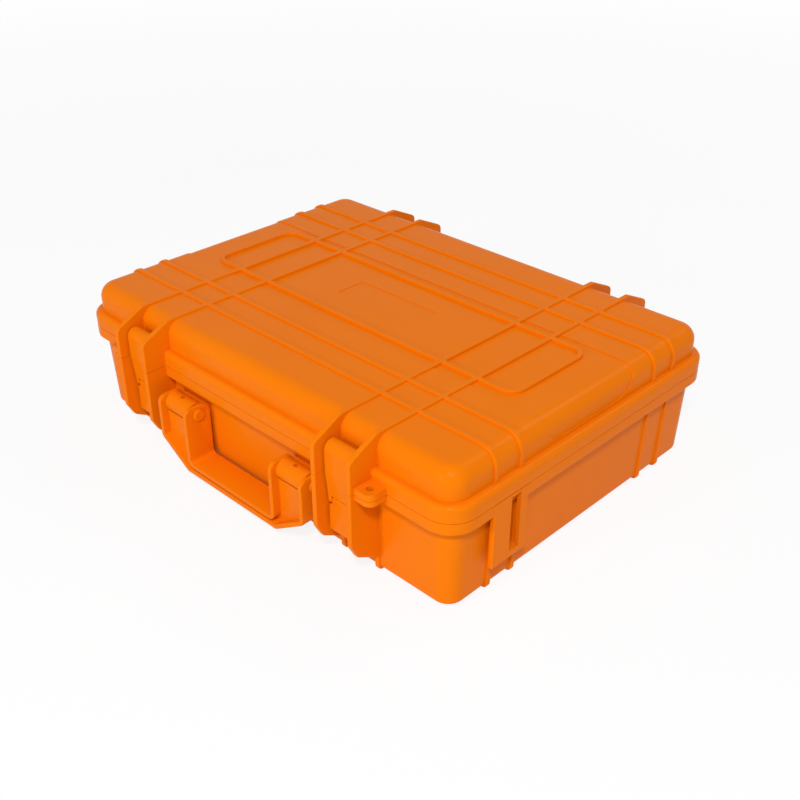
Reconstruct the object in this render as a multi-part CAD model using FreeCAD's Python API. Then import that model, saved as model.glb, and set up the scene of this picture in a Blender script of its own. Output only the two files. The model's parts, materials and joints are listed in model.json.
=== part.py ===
"""Hard equipment case with a hinged lid, two two-piece latches and a folding carrying handle.

Millimetres. The origin is the centre of the footprint at floor level. +X runs along the case
to the right, +Y to the rear (the hinge side) and +Z up. The case stands on its bottom ribs.
"""
import FreeCAD
import Part
import math
import os

V = FreeCAD.Vector

# Overall form
RIM_LENGTH = 494.5         # over the rim, left to right
RIM_WIDTH = 358.0          # over the rim, front to rear
RIM_CORNER = 26.5          # corner radius of the rim in plan
RIM_OVERHANG = 7.5         # rim face beyond the walls
BASE_DEPTH = 92.5          # floor to parting plane
LID_DEPTH = 44.5           # parting plane to rib tops
BASE_DRAFT = 3.7           # the base walls lean in by this from parting plane to floor
BASE_RIM_HEIGHT = 11.5
LID_RIM_HEIGHT = 15.0
PARTING_GAP = 0.4
WALL = 3.5
CROWN_RADIUS = 14.5        # upper edge of the lid
BASE_EDGE_RADIUS = 5.0     # lower edge of the base
RIM_EDGE_RADIUS = 5.0      # upper edge of the lid rim
RIM_LOWER_RADIUS = 2.5     # lower edge of the base rim
PARTING_EDGE_RADIUS = 0.6

# Ribs, band and label recess
RIB_HEIGHT = 2.0
RIB_WIDTH = 5.0
RIB_EDGE_RADIUS = 1.0
LONG_RIB_OFFSETS = (92.3, 122.7)
RING_HALF_LENGTH = 195.6
RING_HALF_WIDTH = 50.0
RING_CORNER = 13.0
BAND_HALF_WIDTH = 62.0
BAND_DEPTH = 1.0
BAND_FOOT = 2.5            # lower edge of the band above the lid rim
BAND_CORNER = 24.0
LABEL_HALF_LENGTH = 50.5
LABEL_HALF_WIDTH = 17.5
LABEL_CORNER = 5.0
LABEL_DEPTH = 0.7

# Cheeks: the plates beside the latches and hinges
CHEEK_CENTRE = 136.4       # middle of each pair
CHEEK_GAP = 36.0           # clear width between a pair
CHEEK_REACH = 21.4         # cheek edge beyond the rim face
CHEEK_BEVEL_DROP = 14.8
CHEEK_BEVEL_RUN = 31.0
CHEEK_LOWER_EDGE = 41.0    # end of the upright edge, above the floor
CHEEK_FOOT_RUN = 6.9
CHEEK_FOOT_EDGE = 28.0
CHEEK_FOOT = 15.0
CHEEK_CORNER = 7.0

# Lid hinge
HINGE_RADIUS = 5.0
HINGE_PIN_RADIUS = 2.5
HINGE_NOTCH_RADIUS = 9.0
HINGE_ARM_TIP = 4.5        # arm height where it meets the barrel

# Fits
RUNNING_FIT = 0.05         # radial, on latch and hinge pins
SIDE_CLEARANCE = 0.6       # between moving cheeks and knuckles
FOAM_CLEARANCE = 0.6
CUT_SPARE = 1.0            # cutters run past the faces that they cut

# Lid seal
GROOVE_OFFSET = 0.8        # inner edge of the groove beyond the wall face
GROOVE_WIDTH = 4.6
GROOVE_DEPTH = 6.5
SEAL_THICKNESS = 3.5
SEAL_CLEARANCE = 0.3
TONGUE_WIDTH = 2.2
TONGUE_CLEARANCE = 0.2

# Latches
LATCH_WIDTH = 32.0
LATCH_STANDOFF = 1.0       # latch back in front of the rim face
LATCH_THICKNESS = 11.0
LATCH_TOP_RADIUS = 8.0
LATCH_PIVOT_HEIGHT = 20.5  # above the parting plane
LATCH_PIVOT_INSET = 8.0    # behind the latch front
LATCH_TAPER = 2.4
LATCH_SKIN = 3.0
LATCH_SIDE = 3.6
LATCH_PIN_RADIUS = 2.0
LATCH_PIN_SEAT = 3.5       # depth of each blind bore in a cheek
LEVER_PIVOT_DROP = 48.5    # below the latch pivot
LEVER_PIVOT_INSET = 7.4    # behind the latch front
LEVER_BARREL_RADIUS = 4.4
LEVER_EAR_RADIUS = 4.8
LEVER_PIN_RADIUS = 1.5
LEVER_PIN_SHORT = 1.0      # pin end inside the ear's outer face
LEVER_THICKNESS = 3.5
LEVER_LENGTH = 30.5        # pivot to tab end
LEVER_TAB_TOP = 5.3        # below the lever pivot
LEVER_CLEARANCE = 0.3
LIP_HEIGHT = 1.2
LIP_WIDTH = 1.4
HOOK_WIDTH = 5.0
HOOK_CLEARANCE = 1.0       # hook to keeper lip, front to rear
LIP_CLEARANCE = 0.5        # lever under and in front of the lip
HOOK_LIFT_CLEARANCE = 0.3
HOOK_ROOT_RISE = 3.5       # hook root above the lever pivot
HOOK_ROOT_DROP = 2.6       # hook root below and behind the lever pivot
HOOK_SLOPE = 4.8           # fall of the hook's upper side towards the barrel

# Carrying handle
HANDLE_TO_CHEEK = 13.4     # handle side to the inner front cheek
HANDLE_ARM = 42.5          # over the two plates of one arm
HANDLE_PLATE = 4.2
HANDLE_DEPTH = 27.5
HANDLE_EAR_RISE = 9.0      # plates above the handle pivot
HANDLE_KNEE = 32.0
HANDLE_BOTTOM = 8.5
HANDLE_SLOPE_RUN = 37.0    # sloping side, from knee to lower edge
GRIP_TOP = 19.5
HANDLE_CORNER = 6.0
PLATE_FRONT_RADIUS = 7.0
PLATE_REAR_RADIUS = 9.0
WEB_SETBACK = 8.0
WEB_THICKNESS = 5.0
HANDLE_PIVOT_HEIGHT = 66.0
HANDLE_PIVOT_INSET = 14.9  # behind the handle front
KNUCKLE_RADIUS = 10.0
KNUCKLE_CLEARANCE = 0.5
KNUCKLE_RISE = 4.0         # top of the knuckle's pedestal above the handle pivot
KNUCKLE_DROP = 8.0         # underside of the pedestal below the handle pivot
KNUCKLE_POCKET = 5.0
KNUCKLE_POCKET_DEPTH = 3.0
HANDLE_NOTCH_CLEARANCE = 1.6
HANDLE_PIN_RADIUS = 3.5
HANDLE_PIN_HEAD_RADIUS = 6.0
HANDLE_PIN_HEAD = 2.0
HANDLE_PIN_HEAD_ROUND = 1.2
HANDLE_PIN_FIT = 0.1

# Padlock tabs
TAB_TO_CHEEK = 9.5         # hole centre beside the outer front cheek
TAB_RADIUS = 8.5
TAB_REACH = 9.0            # hole centre beyond the rim face
TAB_HOLE_RADIUS = 3.3
LID_TAB_THICKNESS = 6.0
BASE_TAB_THICKNESS = 5.0
TAB_EDGE_RADIUS = 1.0

# Strap plates at both ends
STRAP_PROUD = 0.3          # plate face beyond the rim face
STRAP_THICKNESS = 4.0
STRAP_FRONT = -131.0
STRAP_LENGTH = 41.0        # front to rear
STRAP_BOTTOM = 30.0
STRAP_SLOT_SETBACK = 20.5  # slot behind the plate's front edge
STRAP_SLOT_WIDTH = 11.5
STRAP_SLOT_BOTTOM = 36.5
STRAP_SLOT_TOP_EDGE = 2.5  # bridge above the slot
STRAP_GUSSET = 12.0
STRAP_EDGE_RADIUS = 1.2

# Vent in the rear wall
VENT_HEIGHT = 60.0
VENT_BOSS_RADIUS = 15.0    # flat seat for the vent on the leaning wall
VENT_BOSS_THICKNESS = 5.5
VENT_SHANK_RADIUS = 7.5
VENT_HEAD_RADIUS = 12.0
VENT_HEAD = 3.0
VENT_SEAL = 1.0
VENT_SEAL_RADIUS = 10.5
VENT_NUT = 4.0
VENT_NUT_ACROSS = 22.0     # across flats
VENT_SHANK_SPARE = 1.5
VENT_FOAM_CLEARANCE = 3.0

# Foam lining
PAD_THICKNESS = 15.0
TRAY_DROP = 4.0            # tray top below the parting plane
LID_FOAM_THICKNESS = 25.0
FOAM_CELL = 15.0           # pitch of the pre-cut foam cells
MAIN_WELL_CELLS = 18       # cells plucked out for each well, left to right
BRIDGE_CELLS = 2           # cells left between the two wells
SIDE_WELL_CELLS = 5
WELL_WIDTH_CELLS = 15      # cells plucked out, front to rear

# Derived places
RIM_X = RIM_LENGTH / 2
RIM_Y = RIM_WIDTH / 2
WALL_X = RIM_X - RIM_OVERHANG
WALL_Y = RIM_Y - RIM_OVERHANG
WALL_CORNER = RIM_CORNER - RIM_OVERHANG
SEAM = BASE_DEPTH
TOP = BASE_DEPTH + LID_DEPTH
SKIN_TOP = TOP - RIB_HEIGHT
LID_LOW = SEAM + PARTING_GAP / 2
BASE_HIGH = SEAM - PARTING_GAP / 2
LID_RIM_TOP = LID_LOW + LID_RIM_HEIGHT
BASE_RIM_LOW = BASE_HIGH - BASE_RIM_HEIGHT
FLOOR = RIB_HEIGHT + WALL
CEILING = SKIN_TOP - WALL
CHEEK_Y = RIM_Y + CHEEK_REACH
CHEEK_XS = [side * (CHEEK_CENTRE + turn * (CHEEK_GAP + RIB_WIDTH) / 2)
            for side in (-1, 1) for turn in (-1, 1)]
LONG_RIB_YS = [side * y for side in (-1, 1) for y in LONG_RIB_OFFSETS]
INNER_CHEEK_FACE = CHEEK_CENTRE - CHEEK_GAP / 2 - RIB_WIDTH
OUTER_CHEEK_FACE = CHEEK_CENTRE + CHEEK_GAP / 2 + RIB_WIDTH
TAB_CENTRE = OUTER_CHEEK_FACE + TAB_TO_CHEEK
HINGE_Y = CHEEK_Y - HINGE_RADIUS
LATCH_BACK = -RIM_Y - LATCH_STANDOFF
LATCH_FRONT = LATCH_BACK - LATCH_THICKNESS
LATCH_PIVOT_Y = LATCH_FRONT + LATCH_PIVOT_INSET
LATCH_PIVOT_Z = SEAM + LATCH_PIVOT_HEIGHT
LEVER_PIVOT_Y = LATCH_FRONT + LEVER_PIVOT_INSET
LEVER_PIVOT_Z = LATCH_PIVOT_Z - LEVER_PIVOT_DROP
HANDLE_HALF_WIDTH = INNER_CHEEK_FACE - HANDLE_TO_CHEEK
HANDLE_FLAT = HANDLE_HALF_WIDTH - HANDLE_SLOPE_RUN
HANDLE_TOP = HANDLE_PIVOT_HEIGHT + HANDLE_EAR_RISE
HANDLE_FRONT = -CHEEK_Y
HANDLE_REAR = HANDLE_FRONT + HANDLE_DEPTH
HANDLE_PIVOT_Y = HANDLE_FRONT + HANDLE_PIVOT_INSET
HANDLE_INNER = HANDLE_HALF_WIDTH - HANDLE_ARM
PLATE_REACH = PLATE_REAR_RADIUS + math.hypot(HANDLE_REAR - HANDLE_PIVOT_Y - PLATE_REAR_RADIUS,
                                             HANDLE_EAR_RISE - PLATE_REAR_RADIUS)
STRAP_REAR = STRAP_FRONT + STRAP_LENGTH
STRAP_SLOT_FRONT = STRAP_FRONT + STRAP_SLOT_SETBACK
WELLS_X = FOAM_CELL * (MAIN_WELL_CELLS + BRIDGE_CELLS + SIDE_WELL_CELLS) / 2
WELL_Y = FOAM_CELL * WELL_WIDTH_CELLS / 2
MAIN_WELL = (-WELLS_X, FOAM_CELL * MAIN_WELL_CELLS - WELLS_X)
SIDE_WELL = (WELLS_X - FOAM_CELL * SIDE_WELL_CELLS, WELLS_X)
TRAY_TOP = SEAM - TRAY_DROP
VENT_INSIDE = WALL_Y - VENT_BOSS_THICKNESS
BIG = 1000.0               # longer than the case, for cutting blocks


def outline(corners, place):
    """Closed wire through (a, b, radius) corners; place turns (a, b) into a point."""
    points = [V(a, b, 0) for a, b, radius in corners]
    joints = []
    for index, (a, b, radius) in enumerate(corners):
        point = points[index]
        back = (points[index - 1] - point).normalize()
        ahead = (points[(index + 1) % len(points)] - point).normalize()
        if radius == 0:
            joints.append((point, point, point))
            continue
        half_angle = back.getAngle(ahead) / 2
        run = radius / math.tan(half_angle)
        middle = (back + ahead).normalize() * (radius / math.sin(half_angle) - radius)
        joints.append((point + back * run, point + middle, point + ahead * run))
    edges = []
    for index, (start, middle, end) in enumerate(joints):
        following = joints[(index + 1) % len(joints)][0]
        if (end - start).Length > 1e-6:
            edges.append(Part.Arc(place(start), place(middle), place(end)).toShape())
        if (following - end).Length > 1e-6:
            edges.append(Part.LineSegment(place(end), place(following)).toShape())
    return Part.Wire(edges)


def plate_x(corners, low, high):
    """Plate with a (y, z) outline between two X places."""
    wire = outline(corners, lambda p: V(low, p.x, p.y))
    return Part.Face(wire).extrude(V(high - low, 0, 0))


def plate_y(corners, low, high):
    """Plate with an (x, z) outline between two Y places."""
    wire = outline(corners, lambda p: V(p.x, low, p.y))
    return Part.Face(wire).extrude(V(0, high - low, 0))


def plate_z(corners, low, high):
    """Plate with an (x, y) outline between two heights."""
    wire = outline(corners, lambda p: V(p.x, p.y, low))
    return Part.Face(wire).extrude(V(0, 0, high - low))


def box(low, high):
    """Block between two corners."""
    size = [b - a for a, b in zip(low, high)]
    return Part.makeBox(size[0], size[1], size[2], V(*low))


def rod_x(radius, low, high, y, z):
    """Cylinder along X."""
    return Part.makeCylinder(radius, high - low, V(low, y, z), V(1, 0, 0))


def rounded_wire(half_x, half_y, corner, z):
    """Rounded rectangle at one height, centred on the case."""
    corners = [(-half_x, -half_y, corner), (half_x, -half_y, corner),
               (half_x, half_y, corner), (-half_x, half_y, corner)]
    return outline(corners, lambda p: V(p.x, p.y, z))


def rounded_block(half_x, half_y, corner, low, high):
    """Upright block with rounded corners, centred on the case."""
    return Part.Face(rounded_wire(half_x, half_y, corner, low)).extrude(V(0, 0, high - low))


def grown(offset, low, high):
    """Block that follows the walls, grown outwards by offset."""
    return rounded_block(WALL_X + offset, WALL_Y + offset, WALL_CORNER + offset, low, high)


def lean(z):
    """How far a base wall leans in at a height."""
    return BASE_DRAFT * (SEAM - z) / SEAM


def leaning(offset, low, high):
    """Block that follows the leaning base walls, grown outwards by offset."""
    wires = []
    for z in (low, high):
        reach = offset - lean(z)
        wires.append(rounded_wire(WALL_X + reach, WALL_Y + reach, WALL_CORNER + reach, z))
    return Part.makeLoft(wires, True, True)


def ring(inner, outer, low, high):
    """Closed ring that follows the walls between two offsets."""
    return grown(outer, low, high).cut(grown(inner, low, high))


def mirror_x(shape):
    """Copy on the other side of the case."""
    return shape.mirror(V(0, 0, 0), V(1, 0, 0))


def both_sides(shape):
    """A shape and its mirror copy."""
    return [shape, mirror_x(shape)]


def level_edges(shape, z):
    """Edges that lie wholly at one height."""
    return [e for e in shape.Edges
            if abs(e.BoundBox.ZMin - z) < 1e-4 and abs(e.BoundBox.ZMax - z) < 1e-4]


def rounded_level(shape, z, radius):
    """Round the edges at one height."""
    return shape.makeFillet(radius, level_edges(shape, z))


def side_edges(shape, axis, low, high, keep):
    """Edges in the two side faces of a plate whose middle point passes keep."""
    chosen = []
    for edge in shape.Edges:
        bounds = edge.BoundBox
        near, far = (bounds.XMin, bounds.XMax) if axis == "x" else (bounds.YMin, bounds.YMax)
        middle = edge.valueAt((edge.FirstParameter + edge.LastParameter) / 2)
        flat = abs(far - near) < 1e-4 and min(abs(near - low), abs(near - high)) < 1e-4
        if flat and keep(middle):
            chosen.append(edge)
    return chosen


def joined(first, others):
    """One solid from touching pieces."""
    return first.fuse(others).removeSplitter()


# Lid ----------------------------------------------------------------------------------

def lid_cross_plate(x):
    """Cross rib that turns into a front and a rear cheek."""
    low, high = x - RIB_WIDTH / 2, x + RIB_WIDTH / 2
    bevel_top = CHEEK_Y - CHEEK_BEVEL_RUN
    corners = [(-CHEEK_Y, LID_LOW, 0), (-CHEEK_Y, TOP - CHEEK_BEVEL_DROP, CHEEK_CORNER),
               (-bevel_top, TOP, CHEEK_CORNER), (bevel_top, TOP, CHEEK_CORNER),
               (CHEEK_Y, TOP - CHEEK_BEVEL_DROP, CHEEK_CORNER), (CHEEK_Y, LID_LOW, 0)]
    plate = plate_x(corners, low, high)
    edges = side_edges(plate, "x", low, high, lambda p: p.z > LID_LOW + CUT_SPARE)
    plate = plate.makeFillet(RIB_EDGE_RADIUS, edges)
    return plate.fuse(rod_x(HINGE_RADIUS, low, high, HINGE_Y, SEAM))


def lid_long_rib(y):
    """Rib over the lid from end to end."""
    low, high = y - RIB_WIDTH / 2, y + RIB_WIDTH / 2
    reach = WALL_X + RIB_HEIGHT
    radius = CROWN_RADIUS + RIB_HEIGHT
    corners = [(-reach, LID_LOW, 0), (reach, LID_LOW, 0), (reach, TOP, radius), (-reach, TOP, radius)]
    plate = plate_y(corners, low, high)
    edges = side_edges(plate, "y", low, high, lambda p: p.z > LID_LOW + CUT_SPARE)
    return plate.makeFillet(RIB_EDGE_RADIUS, edges)


def lid_ring_rib():
    """Raised rounded rectangle round the middle of the lid."""
    outer = rounded_block(RING_HALF_LENGTH + RIB_WIDTH / 2, RING_HALF_WIDTH + RIB_WIDTH / 2,
                          RING_CORNER + RIB_WIDTH / 2, CEILING, TOP)
    inner = rounded_block(RING_HALF_LENGTH - RIB_WIDTH / 2, RING_HALF_WIDTH - RIB_WIDTH / 2,
                          RING_CORNER - RIB_WIDTH / 2, CEILING, TOP)
    return rounded_level(outer.cut(inner), TOP, RIB_EDGE_RADIUS)


def lid_dome():
    """Domed skin with the lower central band and the label recess."""
    dome = rounded_level(grown(0, LID_LOW, SKIN_TOP), SKIN_TOP, CROWN_RADIUS)
    lowered = grown(-BAND_DEPTH, LID_LOW, SKIN_TOP - BAND_DEPTH)
    lowered = rounded_level(lowered, SKIN_TOP - BAND_DEPTH, CROWN_RADIUS - BAND_DEPTH)
    foot = LID_RIM_TOP + BAND_FOOT
    corners = [(-BAND_HALF_WIDTH, foot, BAND_CORNER), (BAND_HALF_WIDTH, foot, BAND_CORNER),
               (BAND_HALF_WIDTH, BIG, 0), (-BAND_HALF_WIDTH, BIG, 0)]
    band = plate_x(corners, -BIG, BIG)
    dome = dome.cut(band.cut(lowered))
    label_floor = SKIN_TOP - BAND_DEPTH - LABEL_DEPTH
    label = rounded_block(LABEL_HALF_LENGTH, LABEL_HALF_WIDTH, LABEL_CORNER, label_floor, TOP)
    return dome.cut(label)


def lid_rim():
    """Rim of the lid, rounded above and slightly at the parting plane."""
    rim = grown(RIM_OVERHANG, LID_LOW, LID_RIM_TOP)
    rim = rounded_level(rim, LID_RIM_TOP, RIM_EDGE_RADIUS)
    return rounded_level(rim, LID_LOW, PARTING_EDGE_RADIUS)


def make_padlock_tab(shell, low, high):
    """Right padlock tab beside the outer front cheek, fitted to its shell and drilled."""
    hole_y = -RIM_Y - TAB_REACH
    root = -RIM_Y + PARTING_EDGE_RADIUS
    inner = OUTER_CHEEK_FACE - RIB_WIDTH / 2
    corners = [(inner, root, 0), (inner, hole_y - TAB_RADIUS, TAB_EDGE_RADIUS),
               (TAB_CENTRE + TAB_RADIUS, hole_y - TAB_RADIUS, TAB_RADIUS - TAB_EDGE_RADIUS),
               (TAB_CENTRE + TAB_RADIUS, root, 0)]
    hole = Part.makeCylinder(TAB_HOLE_RADIUS, high - low, V(TAB_CENTRE, hole_y, low))
    return plate_z(corners, low, high).cut([shell, hole])


def latch_pin_cutter(radius):
    """Rod from blind bore to blind bore between a pair of lid cheeks."""
    reach = CHEEK_GAP / 2 + LATCH_PIN_SEAT
    return rod_x(radius, CHEEK_CENTRE - reach, CHEEK_CENTRE + reach, LATCH_PIVOT_Y, LATCH_PIVOT_Z)


def hinge_pin_rod(radius):
    """Rod through a pair of rear cheeks and the barrel between them."""
    reach = CHEEK_GAP / 2 + RIB_WIDTH
    return rod_x(radius, CHEEK_CENTRE - reach, CHEEK_CENTRE + reach, HINGE_Y, SEAM)


def make_lid_shell():
    """Lid moulding."""
    pieces = [lid_rim(), lid_ring_rib()]
    pieces += [lid_cross_plate(x) for x in CHEEK_XS]
    pieces += [lid_long_rib(y) for y in LONG_RIB_YS]
    lid = joined(lid_dome(), pieces)
    cavity = grown(-WALL, -BIG, CEILING)
    cavity = rounded_level(cavity, CEILING, CROWN_RADIUS - WALL)
    groove = ring(GROOVE_OFFSET, GROOVE_OFFSET + GROOVE_WIDTH,
                  LID_LOW - CUT_SPARE, LID_LOW + GROOVE_DEPTH)
    cutters = [cavity, groove]
    for cutter in (latch_pin_cutter(LATCH_PIN_RADIUS), hinge_pin_rod(HINGE_PIN_RADIUS + RUNNING_FIT)):
        cutters += both_sides(cutter)
    return lid.cut(cutters)


# Base ---------------------------------------------------------------------------------

def base_cross_plate(x):
    """Bottom rib that rises into a front and a rear cheek."""
    low, high = x - RIB_WIDTH / 2, x + RIB_WIDTH / 2
    rib_y = WALL_Y + RIB_HEIGHT
    foot_y = rib_y - lean(CHEEK_FOOT)
    half = [(CHEEK_Y, BASE_HIGH, 0), (CHEEK_Y, CHEEK_LOWER_EDGE, CHEEK_CORNER),
            (CHEEK_Y - CHEEK_FOOT_RUN, CHEEK_FOOT_EDGE, CHEEK_CORNER), (foot_y, CHEEK_FOOT, 0),
            (rib_y - lean(0), 0, BASE_EDGE_RADIUS)]
    other = [(-y, z, radius) for y, z, radius in reversed(half)]
    plate = plate_x(half + other, low, high)
    edges = side_edges(plate, "x", low, high, lambda p: p.z < BASE_HIGH - CUT_SPARE)
    plate = plate.makeFillet(RIB_EDGE_RADIUS, edges)
    return plate.cut(rod_x(HINGE_NOTCH_RADIUS, low - CUT_SPARE, high + CUT_SPARE, HINGE_Y, SEAM))


def base_long_rib(y):
    """Rib under the base that climbs both end walls."""
    low, high = y - RIB_WIDTH / 2, y + RIB_WIDTH / 2
    reach = WALL_X + RIB_HEIGHT
    top, foot = reach - lean(BASE_RIM_LOW), reach - lean(0)
    corners = [(-top, BASE_RIM_LOW, 0), (-foot, 0, BASE_EDGE_RADIUS),
               (foot, 0, BASE_EDGE_RADIUS), (top, BASE_RIM_LOW, 0)]
    plate = plate_y(corners, low, high)
    edges = side_edges(plate, "y", low, high, lambda p: p.z < BASE_RIM_LOW - CUT_SPARE)
    return plate.makeFillet(RIB_EDGE_RADIUS, edges)


def base_body():
    """Walls and floor as a full block, with its rim."""
    body = rounded_level(leaning(0, RIB_HEIGHT, BASE_HIGH), RIB_HEIGHT, BASE_EDGE_RADIUS)
    rim = grown(RIM_OVERHANG, BASE_RIM_LOW, BASE_HIGH)
    rim = rounded_level(rim, BASE_RIM_LOW, RIM_LOWER_RADIUS)
    rim = rounded_level(rim, BASE_HIGH, PARTING_EDGE_RADIUS)
    return body.fuse(rim)


def keeper_lip():
    """Lip under the base rim that the latch hook sits behind."""
    half = CHEEK_GAP / 2
    return box((CHEEK_CENTRE - half, -RIM_Y, BASE_RIM_LOW - LIP_HEIGHT),
               (CHEEK_CENTRE + half, -RIM_Y + LIP_WIDTH, BASE_RIM_LOW + RIM_LOWER_RADIUS))


def handle_knuckle():
    """Knuckle on its pedestal between the two plates of the right handle arm."""
    low = HANDLE_INNER + HANDLE_PLATE + SIDE_CLEARANCE
    high = HANDLE_HALF_WIDTH - HANDLE_PLATE - SIDE_CLEARANCE
    barrel = rod_x(KNUCKLE_RADIUS, low, high, HANDLE_PIVOT_Y, HANDLE_PIVOT_HEIGHT)
    pedestal = box((low, HANDLE_PIVOT_Y, HANDLE_PIVOT_HEIGHT - KNUCKLE_DROP),
                   (high, -WALL_Y + WALL / 2, HANDLE_PIVOT_HEIGHT + KNUCKLE_RISE))
    middle = (low + high) / 2
    half = KNUCKLE_POCKET / 2
    pocket_low = HANDLE_PIVOT_HEIGHT + KNUCKLE_RADIUS - KNUCKLE_POCKET_DEPTH
    pocket = box((middle - half, HANDLE_PIVOT_Y - half, pocket_low),
                 (middle + half, HANDLE_PIVOT_Y + half, pocket_low + KNUCKLE_POCKET_DEPTH + CUT_SPARE))
    return barrel.fuse(pedestal).cut(pocket)


def handle_notches():
    """Cutters in wall and rim that let the handle plates turn."""
    cutters = []
    for low in (HANDLE_INNER, HANDLE_HALF_WIDTH - HANDLE_PLATE):
        notch = rod_x(PLATE_REACH + HANDLE_NOTCH_CLEARANCE, low - SIDE_CLEARANCE,
                      low + HANDLE_PLATE + SIDE_CLEARANCE, HANDLE_PIVOT_Y, HANDLE_PIVOT_HEIGHT)
        cutters += both_sides(notch)
    return cutters


def hinge_barrel():
    """Barrel between a pair of rear cheeks, on an arm from the base rim."""
    half = CHEEK_GAP / 2 - SIDE_CLEARANCE
    low, high = CHEEK_CENTRE - half, CHEEK_CENTRE + half
    barrel = rod_x(HINGE_RADIUS, low, high, HINGE_Y, SEAM)
    corners = [(WALL_Y + WALL, BASE_RIM_LOW, 0), (HINGE_Y, BASE_HIGH - HINGE_ARM_TIP, 0),
               (HINGE_Y, BASE_HIGH, 0), (WALL_Y + WALL, BASE_HIGH, 0)]
    return barrel.fuse(plate_x(corners, low, high))


def strap_plate():
    """Slotted strap plate at the right end, with its gusset to the end wall."""
    face = RIM_X + STRAP_PROUD
    back = face - STRAP_THICKNESS
    root = WALL_X - lean(STRAP_BOTTOM) - WALL / 2
    plate = box((back, STRAP_FRONT, STRAP_BOTTOM), (face, STRAP_REAR, BASE_HIGH))
    edges = [e for e in plate.Edges if abs(e.BoundBox.XMin - face) < 1e-4
             and e.BoundBox.ZMin < BASE_HIGH - CUT_SPARE
             and e.BoundBox.YMin < STRAP_REAR - CUT_SPARE]
    plate = plate.makeFillet(STRAP_EDGE_RADIUS, edges)
    corners = [(root, STRAP_REAR - STRAP_THICKNESS / 2, 0), (face, STRAP_REAR - STRAP_THICKNESS / 2, 0),
               (face, STRAP_REAR, 0), (root, STRAP_REAR + STRAP_GUSSET, 0)]
    gusset = plate_z(corners, STRAP_BOTTOM, BASE_HIGH)
    return plate.fuse(gusset)


def strap_slot():
    """Cutter for the strap slot, up into the rim."""
    back = RIM_X + STRAP_PROUD - STRAP_THICKNESS
    return box((back - CUT_SPARE, STRAP_SLOT_FRONT, STRAP_SLOT_BOTTOM),
               (back + STRAP_THICKNESS + CUT_SPARE, STRAP_SLOT_FRONT + STRAP_SLOT_WIDTH,
                BASE_HIGH - STRAP_SLOT_TOP_EDGE))


def vent_rod(radius, low, high):
    """Cylinder along Y on the vent axis, between two distances from the middle of the case."""
    return Part.makeCylinder(radius, high - low, V(0, low, VENT_HEIGHT), V(0, 1, 0))


def make_base_shell():
    """Base moulding."""
    pieces = [base_cross_plate(x) for x in CHEEK_XS]
    pieces += [base_long_rib(y) for y in LONG_RIB_YS]
    for piece in (keeper_lip(), handle_knuckle(), hinge_barrel(), strap_plate()):
        pieces += both_sides(piece)
    base = joined(base_body(), pieces)
    cavity = rounded_level(leaning(-WALL, FLOOR, SEAM + CUT_SPARE), FLOOR, BASE_EDGE_RADIUS - WALL)
    base = base.cut([cavity] + handle_notches()).fuse(vent_rod(VENT_BOSS_RADIUS, VENT_INSIDE, WALL_Y))
    cutters = [vent_rod(VENT_SHANK_RADIUS, VENT_INSIDE - CUT_SPARE, WALL_Y + CUT_SPARE)]
    knuckle_bore = rod_x(HANDLE_PIN_RADIUS + HANDLE_PIN_FIT, HANDLE_INNER, HANDLE_HALF_WIDTH,
                         HANDLE_PIVOT_Y, HANDLE_PIVOT_HEIGHT)
    for cutter in (strap_slot(), hinge_pin_rod(HINGE_PIN_RADIUS), knuckle_bore):
        cutters += both_sides(cutter)
    base = base.cut(cutters)
    middle = GROOVE_OFFSET + GROOVE_WIDTH / 2
    tongue_top = LID_LOW + GROOVE_DEPTH - SEAL_THICKNESS - TONGUE_CLEARANCE
    tongue = ring(middle - TONGUE_WIDTH / 2, middle + TONGUE_WIDTH / 2,
                  BASE_HIGH - CUT_SPARE, tongue_top)
    return base.fuse(tongue).removeSplitter()


def make_lid_seal():
    """Soft ring at the root of the lid groove."""
    inner = GROOVE_OFFSET + SEAL_CLEARANCE
    outer = GROOVE_OFFSET + GROOVE_WIDTH - SEAL_CLEARANCE
    high = LID_LOW + GROOVE_DEPTH
    return ring(inner, outer, high - SEAL_THICKNESS, high)


# Latches ------------------------------------------------------------------------------

def make_latch_body():
    """Right latch body: rounded head on the lid pivot, hollow back and two ears below."""
    low, high = CHEEK_CENTRE - LATCH_WIDTH / 2, CHEEK_CENTRE + LATCH_WIDTH / 2
    foot = LEVER_PIVOT_Z + LEVER_EAR_RADIUS
    corners = [(LATCH_FRONT, LATCH_PIVOT_Z, 0), (LATCH_FRONT, SEAM, LATCH_TOP_RADIUS),
               (LATCH_FRONT + LATCH_TAPER, foot, 0), (LATCH_BACK, foot, 0),
               (LATCH_BACK, LATCH_PIVOT_Z, 0)]
    body = plate_x(corners, low, high)
    head = rod_x(LATCH_TOP_RADIUS, low, high, LATCH_PIVOT_Y, LATCH_PIVOT_Z)
    hollow = box((low + LATCH_SIDE, LATCH_FRONT + LATCH_TAPER + LATCH_SKIN, foot - CUT_SPARE),
                 (high - LATCH_SIDE, LATCH_BACK + CUT_SPARE, LATCH_PIVOT_Z - LATCH_TOP_RADIUS))
    body = body.fuse(head).cut(hollow)
    ears = []
    for start, end in ((low, low + LATCH_SIDE), (high - LATCH_SIDE, high)):
        ear = rod_x(LEVER_EAR_RADIUS, start, end, LEVER_PIVOT_Y, LEVER_PIVOT_Z)
        neck = box((start, LEVER_PIVOT_Y - LEVER_EAR_RADIUS, LEVER_PIVOT_Z),
                   (end, LEVER_PIVOT_Y + LEVER_EAR_RADIUS, foot))
        ears += [ear, neck]
    body = body.fuse(ears).removeSplitter()
    bore = rod_x(LATCH_PIN_RADIUS + RUNNING_FIT, low, high, LATCH_PIVOT_Y, LATCH_PIVOT_Z)
    return body.cut([bore, lever_pin_rod(LEVER_PIN_RADIUS)])


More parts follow.
